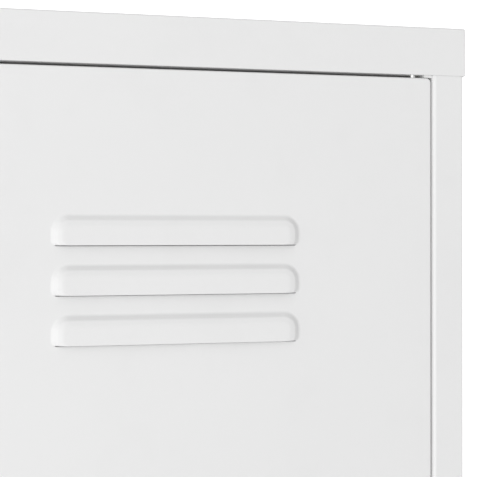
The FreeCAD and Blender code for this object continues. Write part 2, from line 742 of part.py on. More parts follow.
def make_door_stiffener():
    """A hat channel spot-welded up the middle of the door, between the two groups of louvers."""
    skin, skin_in = f"{FACE} + steel", f"{FACE} + 2 * steel"
    deep, deep_in = f"{FACE} + door_depth - steel", f"{FACE} + door_depth - 2 * steel"
    outline = []
    inner = []
    for sign in (-1, 1):
        edge = f"{sign} * (stiffener_width / 2 + stiffener_flange)"
        wall, wall_back = f"{sign} * stiffener_width / 2", f"{sign} * (stiffener_width / 2 - steel)"
        outer_run = [(edge, skin), (edge, skin_in), (wall, skin_in), (wall, deep)]
        inner_run = [(wall_back, deep_in), (wall_back, skin)]
        outline += outer_run if sign < 0 else list(reversed(outer_run))
        inner = inner_run + inner if sign < 0 else list(reversed(inner_run)) + inner
    folds = [
        ("fold_radius", [(f"{sign} * stiffener_width / 2", deep) for sign in (-1, 1)]),
        ("fold_radius - steel", [corner for corner in inner if corner[1] == deep_in]),
    ]
    reach = "(louver_margin + louver_count * louver_pitch + stiffener_end_gap)"
    length = f"{DOOR_HIGH} - {DOOR_LOW} - 2 * {reach}"
    finished(folded("stiffener", "XY", outline + inner, f"{DOOR_LOW} + {reach}", length, folds),
             "door_stiffener")


def make_pivots():
    """The door turns on two pins held by plates in its corners. Each pin runs in a nylon bush."""
    plate_edge = f"({DOOR_HALF} - door_corner_radius)"
    plates = {
        "top": (f"({DOOR_HIGH} - steel - hinge_plate_thick)", f"{DOOR_HIGH} - steel - hinge_plate_thick"),
        "bottom": (f"({DOOR_LOW} + steel)", f"{KICK_TOP} - pin_grip"),
    }
    for end, (plate_low, pin_low) in plates.items():
        plate = box(f"{end}_plate_blank",
                    [f"{plate_edge} - hinge_plate_length", f"{FACE} + steel + hinge_plate_play", plate_low],
                    ["hinge_plate_length", "door_depth - 2 * steel - hinge_plate_play",
                     "hinge_plate_thick"])
        pin_hole = hole(f"{end}_plate_hole", [PIVOT_X, PIVOT_Y, plate_low], "pin_radius",
                        "hinge_plate_thick", "Z")
        finished(cut(f"{end}_plate", plate, pin_hole), f"{end}_hinge_plate")
        length = "hinge_plate_thick + steel + door_gap + pin_grip"
        finished(drum(f"{end}_pin", [PIVOT_X, PIVOT_Y, pin_low], "pin_radius", length), f"{end}_pivot_pin")
    # the upper bush's collar lies on the cap's return; the lower one's is the washer that the door turns on
    bushes = {
        "top": (FASCIA_LOW, "steel + bush_collar", f"{FASCIA_LOW} + steel", "bush_collar"),
        "bottom": (f"({KICK_TOP} - steel)", "steel + door_gap - washer_play", KICK_TOP,
                   "door_gap - washer_play"),
    }
    for end, (sleeve_low, sleeve_length, collar_low, collar_thick) in bushes.items():
        sleeve = drum(f"{end}_bush_sleeve", [PIVOT_X, PIVOT_Y, sleeve_low], "pin_radius + bush_wall",
                      sleeve_length)
        collar = drum(f"{end}_bush_collar", [PIVOT_X, PIVOT_Y, collar_low],
                      "pin_radius + bush_wall + bush_rim",
                      collar_thick)
        bore = hole(f"{end}_bush_bore", [PIVOT_X, PIVOT_Y, sleeve_low], "pin_radius + pin_play",
                    sleeve_length, "Z")
        finished(cut(f"{end}_bush", fuse(f"{end}_bush_solid", sleeve, collar), bore), f"{end}_pivot_bush")


def make_door_stop():
    """An angle welded inside the lock-side jamb, with rubber buffers where the door's hem closes."""
    leg = f"(0 - {JAMB} - steel)"
    leg_back, stop_edge = f"{leg} - steel", f"{leg} + steel + stop_leg"
    stop_back = f"{JAMB_REAR} + steel"
    outline = [
        (leg_back, f"{JAMB_REAR} - stop_leg"), (leg, f"{JAMB_REAR} - stop_leg"), (leg, JAMB_REAR),
        (stop_edge, JAMB_REAR), (stop_edge, stop_back), (leg_back, stop_back),
    ]
    length = f"{FASCIA_LOW} - {KICK_TOP} - 2 * stop_end_gap"
    angle = folded("stop", "XY", outline, f"{KICK_TOP} + stop_end_gap", length,
                   [("fold_radius", [(leg_back, stop_back)])])
    finished(angle, "door_stop_angle")
    thick = "(stop_play - buffer_play)"
    buffers = [drum(f"buffer{row}", [f"0 - {JAMB} + stop_leg / 2", f"{JAMB_REAR} - {thick}",
                                     f"lock_height + {row - 1} * buffer_spacing"], "buffer_radius", thick,
                    "Y")
               for row in range(3)]
    finished(group("buffers", buffers), "door_buffers")


def on_lock_axis(y):
    return [LOCK_X, y, LOCK_Z]


def square_hole(name, start, length):
    """A cutting box for the square spindle."""
    half = "spindle_side / 2"
    return box(name, [f"{LOCK_X} - {half}", start, f"{LOCK_Z} - {half}"],
               ["spindle_side", length, "spindle_side"])


def make_lock():
    """The fixed part of the lock: rosette, threaded barrel, nut and the plate behind the door's skin."""
    skin_in = f"{FACE} + steel"
    plate = box("backplate_blank",
                [f"{LOCK_X} - backplate_width / 2", skin_in, f"{LOCK_Z} - backplate_height / 2"],
                ["backplate_width", "backplate_thick", "backplate_height"])
    plate_hole = hole("backplate_hole", on_lock_axis(skin_in), "barrel_radius", "backplate_thick", "Y")
    finished(cut("backplate", plate, plate_hole), "lock_backplate")
    barrel_front = f"{FACE} - rosette_thick"
    barrel_length = f"({CAM_FRONT} - barrel_play - {FACE} + rosette_thick)"
    barrel = drum("barrel_blank", on_lock_axis(barrel_front), "barrel_radius", barrel_length, "Y")
    bore = hole("barrel_bore", on_lock_axis(barrel_front), "barrel_bore", barrel_length, "Y")
    finished(cut("barrel", barrel, bore), "lock_body")
    nut_front = f"{FACE} + steel + backplate_thick"
    nut = hexagon("lock_nut_hexagon", on_lock_axis(nut_front), "lock_nut_radius", "lock_nut_thick", "Y")
    nut_bore = hole("lock_nut_bore", on_lock_axis(nut_front), "barrel_radius", "lock_nut_thick", "Y")
    finished(cut("lock_nut", nut, nut_bore), "lock_nut")
    blank = drum("rosette_blank", on_lock_axis(barrel_front), "rosette_radius", "rosette_thick", "Y")
    front = value(barrel_front)
    disc = softened("rosette_soft", blank, "rosette_thick / 4",
                    lambda edge: len(edge.Vertexes) == 1 and near(edge.CenterOfMass.y, front))
    rosette_bore = hole("rosette_bore", on_lock_axis(barrel_front), "barrel_radius", "rosette_thick", "Y")
    finished(cut("rosette", disc, rosette_bore), "handle_rosette")


def make_lever():
    """The lever, its square spindle and the key-operated core in its hub."""
    hub = drum("lever_hub", on_lock_axis(LEVER_FRONT), "hub_radius", "hub_depth", "Y")
    reach = "(lever_length - lever_width / 2)"
    arm = box("lever_arm", [LOCK_X, LEVER_FRONT, f"{LOCK_Z} - lever_width / 2"],
              [reach, "lever_thick", "lever_width"])
    end = drum("lever_end", [f"{LOCK_X} + {reach}", LEVER_FRONT, LOCK_Z], "lever_width / 2", "lever_thick",
               "Y")
    whole = fuse("lever_whole", hub, arm, end)
    doc.recompute()
    soft = doc.addObject("Part::Fillet", "lever_soft")
    soft.Base = whole
    front, radius = value(LEVER_FRONT), value("lever_edge")
    soft.Edges = [(number, radius, radius) for number, edge in enumerate(whole.Shape.Edges, start=1)
                  if near(edge.BoundBox.YMin, front) and near(edge.BoundBox.YMax, front)]
    core_bore = drum("lever_core_bore", on_lock_axis(f"{LEVER_FRONT} - {PAST}"), "core_radius + pin_play",
                     f"core_length + {PAST}", "Y")
    socket = square_hole("lever_socket", f"{LEVER_FRONT} + core_length", "hub_depth")
    finished(cut("lever", soft, core_bore, socket), "lever_handle")
    spindle_front = f"({LEVER_FRONT} + core_length + lever_gap)"
    finished(square_hole("spindle", spindle_front, f"{CAM_REAR} - {spindle_front}"), "handle_spindle")
    core = drum("core_blank", on_lock_axis(LEVER_FRONT), "core_radius", "core_length", "Y")
    slot = box("core_slot",
               [f"{LOCK_X} - key_slot_width / 2", f"{LEVER_FRONT} - {PAST}",
                f"{LOCK_Z} - key_slot_length / 2"],
               ["key_slot_width", f"key_slot_depth + {PAST}", "key_slot_length"])
    finished(cut("core", core, slot), "lock_cylinder")


def crank_spots():
    """The crank pins with the door unlocked, each an eighth of a turn from level, as (name, x, z)."""
    return [("upper", f"({LOCK_X} - {THROW})", f"({LOCK_Z} - {THROW})"),
            ("lower", f"({LOCK_X} + {THROW})", f"({LOCK_Z} + {THROW})")]


def make_latch():
    """The latch cam on the spindle behind the door, its tongue hanging down, with its screw and pins."""
    reach = f"({JAMB} + {LOCK_X} + tongue_lap)"
    disc = drum("cam_disc", on_lock_axis(CAM_FRONT), "crank_radius + crank_pin_radius + cam_rim",
                "cam_thick", "Y")
    tongue = box("cam_tongue", [f"{LOCK_X} - tongue_width / 2", CAM_FRONT, f"{LOCK_Z} - {reach}"],
                 ["tongue_width", "cam_thick", reach])
    socket = square_hole("cam_socket", f"{CAM_FRONT} - {PAST}", f"cam_thick + 2 * {PAST}")
    finished(cut("cam", fuse("cam_whole", disc, tongue), socket), "latch_cam")
    head_radius = f"({ROD_OFFSET} - {ROD_WIDTH} / 2 - cam_screw_play)"
    head = drum("cam_screw_head", on_lock_axis(CAM_REAR), head_radius, "cam_screw_head", "Y")
    key = hexagon("cam_screw_key", on_lock_axis(f"{CAM_REAR} + cam_screw_head / 2"), f"{head_radius} / 2",
                  "cam_screw_head", "Y")
    finished(cut("cam_screw", head, key), "cam_screw")
    pins = []
    for name, x, z in crank_spots():
        length = "(2 * rod_play + rod_thick)"
        shank = drum(f"crank_{name}_shank", [x, CAM_REAR, z], "crank_pin_radius", length, "Y")
        cap = drum(f"crank_{name}_cap", [x, f"{CAM_REAR} + {length}", z],
                   "crank_pin_radius + crank_head_rim",
                   "crank_head_thick", "Y")
        pins.append(fuse(f"crank_{name}", shank, cap))
    finished(group("cranks", pins), "crank_pins")


def make_rods():
    """The two locking rods, each yoked to a crank pin by a cross slot, with their guides on the door and
    their keepers in the cap and the kick plate."""
    upper, lower = crank_spots()
    pin_reach = "(crank_pin_radius + rod_end_margin)"
    rods = [
        ("upper", "top", f"({LOCK_X} - {ROD_OFFSET})", upper[2], f"({upper[2]} - {pin_reach})",
         f"({DOOR_HIGH} - rod_tip_setback)", f"({DOOR_HIGH} - guide_edge - guide_height)",
         f"({FASCIA_LOW} + steel)"),
        ("lower", "bottom", f"({LOCK_X} + {ROD_OFFSET})", lower[2], f"({DOOR_LOW} + rod_tip_setback)",
         f"({lower[2]} + {pin_reach})", f"({DOOR_LOW} + guide_edge)",
         f"({KICK_TOP} - steel - keeper_thick)"),
    ]
    for name, end, centre, pin_z, low, high, guide_low, keeper_low in rods:
        bar = box(f"{name}_bar", [f"{centre} - {ROD_WIDTH} / 2", ROD_FRONT, low],
                  [ROD_WIDTH, "rod_thick", f"{high} - {low}"])
        yoke_reach = "(crank_pin_radius + yoke_play)"
        yoke = box(f"{name}_yoke",
                   [f"{centre} - {YOKE_HALF}", f"{ROD_FRONT} - {PAST}", f"{pin_z} - {yoke_reach}"],
                   [f"2 * {YOKE_HALF}", f"rod_thick + 2 * {PAST}", f"2 * {yoke_reach}"])
        finished(cut(f"{name}_rod", bar, yoke), f"{name}_locking_rod")
        guide = box(f"{end}_guide_block", [f"{centre} - {GUIDE_HALF}", f"{FACE} + door_depth", guide_low],
                    [f"2 * {GUIDE_HALF}", f"{ROD_REAR} + rod_play + guide_rear_wall - {FACE} - door_depth",
                     "guide_height"])
        guide_slot = rod_slot(f"{end}_guide_slot", centre, guide_low, "guide_height", "0")
        finished(cut(f"{end}_guide", guide, guide_slot), f"{end}_rod_guide")
        keeper_front = f"({ROD_FRONT} - rod_play - keeper_wall)"
        keeper = box(f"{end}_keeper_block", [f"{centre} - {GUIDE_HALF}", keeper_front, keeper_low],
                     [f"2 * {GUIDE_HALF}", f"{KEEPER_REAR} - {keeper_front}", "keeper_thick"])
        keeper_slot = rod_slot(f"{end}_keeper_slot", centre, keeper_low, "keeper_thick", "0")
        finished(cut(f"{end}_keeper", keeper, keeper_slot), f"{end}_rod_keeper")


def make_shelf():
    """The hat shelf: an inverted tray resting on four clips pegged into the side panels."""
    half = f"({WALL_IN} - shelf_side_play)"
    size = [f"2 * {half}", f"{SHELF_REAR} - {SHELF_FRONT}", "shelf_edge"]
    finished(tray("shelf", [f"0 - {half}", SHELF_FRONT, SHELF_LOW], size, "steel", "fold_radius", -1),
             "hat_shelf")
    for side, sign in (("left", -1), ("right", 1)):
        for end, (y, z) in zip(("front", "rear"), clip_spots()):
            name = f"clip_{end}_{side}"
            plate = box(name + "_plate",
                        [from_wall(sign, WALL_IN, "clip_plate"), f"{y} - clip_width / 2",
                         f"{SHELF_LOW} - clip_height"],
                        ["clip_plate", "clip_width", "clip_height"])
            ledge = box(name + "_ledge",
                        [from_wall(sign, WALL_IN, "clip_ledge"), f"{y} - clip_width / 2",
                         f"{SHELF_LOW} - clip_ledge_thick"],
                        ["clip_ledge", "clip_width", "clip_ledge_thick"])
            peg = drum(name + "_peg", [from_wall(sign, WALL_OUT, "steel"), y, z], "peg_radius", "steel",
                       "X")
            finished(fuse(name, plate, ledge, peg), f"shelf_clip_{end}_{side}")


def make_rail():
    """The hanging rail between its two sockets, which are pegged into the side panels."""
    reach = f"({WALL_IN} - socket_plate)"
    tube = drum("rail_tube", [f"0 - {reach}", RAIL_Y, RAIL_Z], "rail_radius", f"2 * {reach}", "X")
    hollow = hole("rail_hollow", [f"0 - {reach}", RAIL_Y, RAIL_Z], "rail_radius - rail_wall",
                  f"2 * {reach}", "X")
    finished(cut("rail", tube, hollow), "hanging_rail")
    for side, sign in (("left", -1), ("right", 1)):
        name = f"socket_{side}"
        plate = drum(name + "_plate", [from_wall(sign, WALL_IN, "socket_plate"), RAIL_Y, RAIL_Z],
                     "socket_radius",
                     "socket_plate", "X")
        ring = drum(name + "_ring", [from_wall(sign, WALL_IN, "socket_length"), RAIL_Y, RAIL_Z],
                    "rail_radius + socket_play + socket_ring", "socket_length", "X")
        pegs = [drum(f"{name}_peg{number}", [from_wall(sign, WALL_OUT, "steel"), RAIL_Y, z], "peg_radius",
                     "steel", "X")
                for number, z in enumerate(socket_peg_heights())]
        mouth = f"{WALL_IN} - socket_length - {PAST}" if sign > 0 else f"socket_plate - {WALL_IN}"
        bore = drum(name + "_bore", [mouth, RAIL_Y, RAIL_Z], "rail_radius + socket_play",
                    f"socket_length + {PAST} - socket_plate", "X")
        finished(cut(name + "_bored", fuse(name, plate, ring, *pegs), bore), f"rail_socket_{side}")


def make_hooks():
    """The coat hooks, spaced evenly about the middle of the rail."""
    count = int(value("hook_count"))
    for number in range(count):
        make_hook(number + 1, f"({number - (count - 1) / 2} * hook_spacing)")


def make_hook(number, centre):
    """A coat hook: a ring round the rail, a stem, and a double hook like an anchor below it."""
    name = f"hook{number}"
    low_x = f"{centre} - hook_width / 2"
    inner = "(rail_radius + hook_play)"
    stem_top = f"({RAIL_Z} - {inner} - hook_ring_wall / 2)"
    arc_centre = f"({stem_top} - hook_stem_length)"
    ring = drum(name + "_ring", [low_x, RAIL_Y, RAIL_Z], f"{inner} + hook_ring_wall", "hook_width", "X")
    stem = box(name + "_stem",
               [low_x, f"{RAIL_Y} - hook_stem / 2", f"{arc_centre} - hook_arc_radius + hook_arc_thick / 2"],
               ["hook_width", "hook_stem", "hook_stem_length + hook_arc_radius - hook_arc_thick / 2"])
    arc = drum(name + "_arc", [low_x, RAIL_Y, arc_centre], "hook_arc_radius", "hook_width", "X")
    hollow = hole(name + "_hollow", [low_x, RAIL_Y, arc_centre], "hook_arc_radius - hook_arc_thick",
                  "hook_width", "X")
    upper_half = box(name + "_upper_half",
                     [f"{low_x} - {PAST}", f"{RAIL_Y} - 2 * hook_arc_radius", arc_centre],
                     [f"hook_width + 2 * {PAST}", "4 * hook_arc_radius", "2 * hook_arc_radius"])
    anchor = cut(name + "_anchor", arc, hollow, upper_half)
    bore = hole(name + "_bore", [low_x, RAIL_Y, RAIL_Z], inner, "hook_width", "X")
    finished(cut(name + "_bored", fuse(name, ring, stem, anchor), bore), f"coat_hook_{number}")


def check_and_write():
    """Checks every object and every cut, then writes one STEP file for each piece."""
    doc.recompute()
    faulty = [thing.Label for thing in doc.Objects if {"Invalid", "Error"} & set(thing.State)]
    if faulty:
        raise RuntimeError(f"objects that failed: {faulty}")
    for less in cuts:
        if less.Shape.Volume > less.Base.Shape.Volume - 1e-3:
            raise RuntimeError(f"{less.Label} takes nothing away")
    os.makedirs("parts", exist_ok=True)
    for shape in pieces:
        if shape.Shape.isNull() or not shape.Shape.isValid() or not shape.Shape.Solids:
            raise RuntimeError(f"{shape.Label} has no valid solid")
        shape.Shape.exportStep(os.path.join("parts", shape.Label + ".step"))
        box_size = shape.Shape.BoundBox
        print(f"{shape.Label}: {len(shape.Shape.Solids)} solid(s), {shape.Shape.Volume / 1000:.2f} cm3, "
              f"{box_size.XLength:.1f} x {box_size.YLength:.1f} x {box_size.ZLength:.1f}")


make_top_cap()
make_side_panel("left", -1)
make_side_panel("right", 1)
make_back_panel()
make_back_fasteners()
make_kick_plate()
make_base_tray()
make_feet()
make_door_panel()
make_door_stiffener()
make_pivots()
make_door_stop()
make_lock()
make_lever()
make_latch()
make_rods()
make_shelf()
make_rail()
make_hooks()
check_and_write()
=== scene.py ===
import json
import math
import bmesh
import bpy
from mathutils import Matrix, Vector

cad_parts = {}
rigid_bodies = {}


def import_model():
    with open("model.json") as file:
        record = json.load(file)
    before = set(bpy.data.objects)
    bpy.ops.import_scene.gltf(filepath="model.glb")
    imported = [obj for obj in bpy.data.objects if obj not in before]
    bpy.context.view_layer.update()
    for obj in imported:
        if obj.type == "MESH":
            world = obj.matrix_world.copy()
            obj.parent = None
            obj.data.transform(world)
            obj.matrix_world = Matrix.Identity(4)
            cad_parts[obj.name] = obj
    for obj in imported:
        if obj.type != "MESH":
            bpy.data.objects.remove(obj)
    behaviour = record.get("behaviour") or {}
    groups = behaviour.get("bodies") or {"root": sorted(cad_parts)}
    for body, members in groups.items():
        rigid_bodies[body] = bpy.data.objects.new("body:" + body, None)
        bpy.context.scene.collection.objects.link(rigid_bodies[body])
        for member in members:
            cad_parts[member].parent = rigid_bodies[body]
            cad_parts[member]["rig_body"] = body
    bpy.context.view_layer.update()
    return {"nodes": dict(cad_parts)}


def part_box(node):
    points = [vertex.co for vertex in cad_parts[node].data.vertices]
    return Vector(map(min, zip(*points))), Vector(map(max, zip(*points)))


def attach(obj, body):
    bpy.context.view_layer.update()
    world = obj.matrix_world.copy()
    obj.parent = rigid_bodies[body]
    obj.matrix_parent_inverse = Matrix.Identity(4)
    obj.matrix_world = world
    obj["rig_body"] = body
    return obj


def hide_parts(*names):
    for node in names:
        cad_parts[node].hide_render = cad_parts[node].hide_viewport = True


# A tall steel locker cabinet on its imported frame. Everything is in metres, +Z is up and the door faces -Y.

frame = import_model()
nodes = frame["nodes"]
scene = bpy.context.scene


# The camera stands close to the upper right corner of the door, a little left of it and almost level.

camera_data = bpy.data.cameras.new("studio_camera")
camera_data.sensor_width = 36
camera_data.lens = 90.6
camera_data.clip_start = 0.02
camera_data.clip_end = 60
camera = bpy.data.objects.new("studio_camera", camera_data)
camera.location = (-0.149, -0.9325, 1.666)
camera.rotation_euler = (math.pi / 2 - 0.0025, 0.001, -0.2546)
scene.collection.objects.link(camera)
scene.camera = camera
scene.view_settings.view_transform = "Standard"


# The studio: a plain pale floor, one large softbox at the front left, and soft white surroundings that are
# brightest behind the locker, brighter on the left of its front than on the right, and darker overhead.

class Value:
    """A node's output. Arithmetic on it adds Math nodes to the same tree."""

    def __init__(self, tree, socket):
        self.tree = tree
        self.socket = socket

    def maths(self, operation, *terms):
        return self.tree.node("ShaderNodeMath", {"operation": operation}, dict(enumerate(terms)))

    def __add__(self, other):
        return self.maths("ADD", self, other)

    def __sub__(self, other):
        return self.maths("SUBTRACT", self, other)

    def __mul__(self, other):
        return self.maths("MULTIPLY", self, other)

    def __rsub__(self, other):
        return self.maths("SUBTRACT", other, self)

    def between(self, low, high):
        """0 below low, 1 above high, and a smooth rise from one to the other."""
        return self.tree.node("ShaderNodeMapRange", {"interpolation_type": "SMOOTHSTEP"},
                              {"Value": self, "From Min": low, "From Max": high})

    def times(self, x, y, z):
        """A vector with each of its parts scaled."""
        return self.tree.node("ShaderNodeVectorMath", {"operation": "MULTIPLY"}, {0: self, 1: (x, y, z)})

    def part(self, axis):
        """One part of a vector."""
        return self.tree.node("ShaderNodeSeparateXYZ", {}, {0: self}, axis)


class Tree:
    """A node tree that is written with one method."""

    def __init__(self, owner):
        owner.use_nodes = True
        self.nodes = owner.node_tree.nodes
        self.links = owner.node_tree.links
        self.nodes.clear()

    def node(self, kind, settings, inputs, output=0):
        """Adds a node, sets it and its sockets, and gives the chosen output."""
        made = self.nodes.new(kind)
        for name, setting in settings.items():
            setattr(made, name, setting)
        for key, value in inputs.items():
            if isinstance(value, Value):
                self.links.new(value.socket, made.inputs[key])
            else:
                made.inputs[key].default_value = value
        return Value(self, made.outputs[output]) if len(made.outputs) else None


studio = bpy.data.worlds.new("studio")
scene.world = studio
tree = Tree(studio)
direction = tree.node("ShaderNodeTexCoord", {}, {}, "Generated")
behind = direction.part("Y").between(0.7, 0.88)
ahead = 1 - direction.part("Y").between(-0.4, 0.1)
dimming = direction.part("X") * (ahead * 0.30 + 0.08) + direction.part("Z") * 0.48
strength = behind * 0.62 + 0.925 - dimming
glow = tree.node("ShaderNodeBackground", {}, {"Color": (1, 1, 1, 1), "Strength": strength})
tree.node("ShaderNodeOutputWorld", {}, {"Surface": glow})

softbox_data = bpy.data.lights.new("softbox", "AREA")
softbox_data.shape = "RECTANGLE"
softbox_data.size = 0.9
softbox_data.size_y = 1.1
softbox_data.energy = 34
softbox = bpy.data.objects.new("softbox", softbox_data)
softbox.location = (-1.70, -2.90, 1.15)
towards_door = Vector((0.0, -0.2, 1.5)) - softbox.location
softbox.rotation_euler = towards_door.to_track_quat("-Z", "Y").to_euler()
scene.collection.objects.link(softbox)

floor_form = bmesh.new()
bmesh.ops.create_grid(floor_form, x_segments=8, y_segments=8, size=4)
floor_mesh = bpy.data.meshes.new("studio_floor")
floor_form.to_mesh(floor_mesh)
floor_form.free()
floor = bpy.data.objects.new("studio_floor", floor_mesh)
floor.location = (0, 0.5, 0)
scene.collection.objects.link(floor)
floor_paint = bpy.data.materials.new("studio_floor_paint")
tree = Tree(floor_paint)
place = tree.node("ShaderNodeTexCoord", {}, {}, "Object")
cloud = tree.node("ShaderNodeTexNoise", {}, {"Vector": place, "Scale": 0.8, "Detail": 3.0}, "Fac")
tone = tree.node("ShaderNodeMix", {"data_type": "RGBA"},
                 {0: cloud, 6: (0.74, 0.745, 0.75, 1), 7: (0.79, 0.79, 0.79, 1)}, 2)
surface = tree.node("ShaderNodeBsdfPrincipled", {}, {"Base Color": tone, "Roughness": 0.6})
tree.node("ShaderNodeOutputMaterial", {}, {"Surface": surface})
floor_mesh.materials.append(floor_paint)


# The folded sheet: cap, side panels, back, base, shelf, kick plate, stop angle and stiffener. Each is cut and
# bent from 0.8 mm steel, spot-welded or screwed, and powder coated white: a faint orange peel, a fine grain
# and a satin sheen that varies where hands have polished it.

def finish(slot, surface_of):
    """A material for a slot of the record. surface_of adds the nodes and gives the shader."""
    material = bpy.data.materials.new(f"{slot}_finish")
    material["slot"] = slot
    tree = Tree(material)
    place = tree.node("ShaderNodeTexCoord", {}, {}, "Object")
    tree.node("ShaderNodeOutputMaterial", {}, {"Surface": surface_of(tree, place)})
    return material


def noise(tree, place, scale, detail):
    """Soft random spots from 0 to 1. scale is about how many there are in a metre."""
    return tree.node("ShaderNodeTexNoise", {}, {"Vector": place, "Scale": scale, "Detail": detail}, "Fac")


def blend(tree, share, first, second):
    """A colour between two, given as three parts each."""
    return tree.node("ShaderNodeMix", {"data_type": "RGBA"}, {0: share, 6: (*first, 1), 7: (*second, 1)}, 2)


def bump(tree, height, distance, strength):
    """Normals for a relief as deep as distance, in metres."""
    return tree.node("ShaderNodeBump", {}, {"Height": height, "Distance": distance, "Strength": strength})


def powder_coat(tree, place):
    """Matt white with orange peel, rubbed a little smoother in patches."""
    peel = noise(tree, place, 520, 1.0)
    grain = noise(tree, place, 3600, 1.0)
    cloud = noise(tree, place, 5, 3.0)
    rub = noise(tree, place, 34, 4.0).between(0.52, 0.72)
    relief = bump(tree, peel * 0.8 + grain * 0.2, 0.00003, 0.6)
    speck = grain.between(0.64, 0.70)
    tone = blend(tree, cloud.between(0.3, 0.7), (0.778, 0.778, 0.778), (0.790, 0.790, 0.789))
    paint = tree.node("ShaderNodeMix", {"data_type": "RGBA", "blend_type": "MULTIPLY"},
                      {0: speck * 0.05 + rub * 0.02, 6: tone, 7: (0.6, 0.6, 0.58, 1)}, 2)
    return tree.node("ShaderNodeBsdfPrincipled", {},
                     {"Base Color": paint, "Roughness": 0.44 - rub * 0.08 + grain * 0.06,
                      "Specular IOR Level": 0.4, "Normal": relief})


coat = finish("white_powder_coat", powder_coat)


CREASE = math.radians(32)
ALMOST_FLAT = math.radians(0.4)
CUT_EDGE = math.radians(50)
SAME_POINT = 1e-6
COATED_EDGE = 0.00012


def put(name, form, body, material, replaced, front=None):
    """Makes the piece from its mesh form: it rides on a body and stands for CAD nodes.

    front is the way that most of an open sheet faces.
    """
    bmesh.ops.recalc_face_normals(form, faces=form.faces)
    if front and sum(face.calc_area() * face.normal.dot(front) for face in form.faces) < 0:
        bmesh.ops.reverse_faces(form, faces=form.faces)
    mesh = bpy.data.meshes.new(name)
    for face in form.faces:
        face.smooth = True
    form.to_mesh(mesh)
    form.free()
    mesh.set_sharp_from_angle(angle=CREASE)
    piece = bpy.data.objects.new(name, mesh)
    scene.collection.objects.link(piece)
    mesh.materials.append(material)
    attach(piece, body)
    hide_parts(*replaced)
    return piece


def weigh(piece):
    """Flat faces keep flat shading beside the bends."""
    normals = piece.modifiers.new("flat_faces", "WEIGHTED_NORMAL")
    normals.keep_sharp = True
    normals.weight = 100


def refined(node, suffix, material, edge, segments=2):
    """A merged copy of a CAD node with its cut edges rounded, which stands for the node."""
    form = bmesh.new()
    form.from_mesh(nodes[node].data)
    bmesh.ops.remove_doubles(form, verts=form.verts, dist=SAME_POINT)
    bmesh.ops.dissolve_limit(form, angle_limit=ALMOST_FLAT, verts=form.verts, edges=form.edges)
    body = nodes[node]["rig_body"]
    piece = put(f"{node}_{suffix}", form, body, material, [node])
    soft = piece.modifiers.new("cut_edges", "BEVEL")
    soft.width = edge
    soft.segments = segments
    soft.limit_method = "ANGLE"
    soft.angle_limit = CUT_EDGE
    weigh(piece)


for node in ("top_cap", "left_side_panel", "right_side_panel", "back_panel", "kick_plate", "base_tray",
             "door_stop_angle", "hat_shelf", "door_stiffener"):
    refined(node, "coated", coat, COATED_EDGE)


# The door: one sheet of 0.8 mm steel with its four edges folded back and hemmed, and two groups of three
# louvers pressed out of it. Each louver is slit and open along its lower lip and runs smoothly into the sheet
# elsewhere. The stiffener is spot-welded inside before both are powder coated.

def rounded_path(corners, radii, steps):
    """A polyline with an arc at each inner corner."""
    path = [Vector(corners[0])]
    for before, here, after, radius in zip(corners, corners[1:], corners[2:], radii):
        here = Vector(here)
        back = (Vector(before) - here).normalized()
        on = (Vector(after) - here).normalized()
        half = back.angle(on) / 2
        reach = radius / math.tan(half)
        centre = here + (back + on).normalized() * (radius / math.sin(half))
        start, end = here + back * reach - centre, here + on * reach - centre
        for step in range(steps + 1):
            share = step / steps
            path.append(centre + start.slerp(end, share).normalized() * radius)
    path.append(Vector(corners[-1]))
    return path


def rounded_ring(low, high, radius, steps):
    """The points of a rectangle with rounded corners, anticlockwise from its lower right corner."""
    ring = []
    corners = ((high[0], low[1], 1, -1), (high[0], high[1], 1, 1),
               (low[0], high[1], -1, 1), (low[0], low[1], -1, -1))
    for turn, (x, z, right, up) in enumerate(corners, -1):
        centre_x, centre_z = x - radius * right, z - radius * up
        for step in range(steps + 1):
            angle = math.pi / 2 * (turn + step / steps)
            ring.append((centre_x + radius * math.cos(angle), centre_z + radius * math.sin(angle)))
    return ring


def joined(form, first, second, closed=True):
    """Quads between two rows of vertices."""
    count = len(first) if closed else len(first) - 1
    for spot in range(count):
        after = (spot + 1) % len(first)
        form.faces.new((first[spot], first[after], second[after], second[spot]))


# the pan
SHEET = 0.0008
DOOR_EDGE = 0.0012
DOOR_CORNER = 0.0030
SHARPEST_CORNER = 0.00002
RIM = 0.004
HEM = 0.012
BEND_STEPS = 6
MERGE_DISTANCE = 0.0001
OUTWARDS = (0, -1, 0)
# a louver: its outline, where the groups are, and the slit under its lip
LOUVER_HALF = 0.07685
LOUVER_HEIGHT = 0.0181
LOUVER_CORNER = 0.010
CORNER_STEPS = 8
LOUVERS_IN_A_GROUP = 3
LOUVER_PITCH = 0.030
LOUVER_MARGIN = 0.0891
LOUVER_SLIT = 0.0004
LOUVER_SLIT_END = 0.0025
# how far its slope runs in from each end and down from the top, and where the steep part turns gentle
END_SLOPE = 0.0065
TOP_SLOPE = 0.0064
SHOULDER_IN = 0.0030
SHOULDER_PROUD = 0.0023
FOOT_WIDTH = 0.0012
CREST_WIDTH = 0.0020
FOOT_RADIUS = 0.0030
SHOULDER_RADIUS = 0.0030
CREST_RADIUS = 0.0120
# how its ends curl in towards the lip: steps inward and upward
CURL = [(0.0028, 0), (0.0016, 0.0004), (0.0007, 0.0012), (0.0002, 0.0024), (0, 0.0036)]

face_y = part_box("right_side_panel")[0].y
door_low, door_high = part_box("door_panel")
proud_by = face_y - door_low.y
door_depth = door_high.y - face_y
door = bmesh.new()

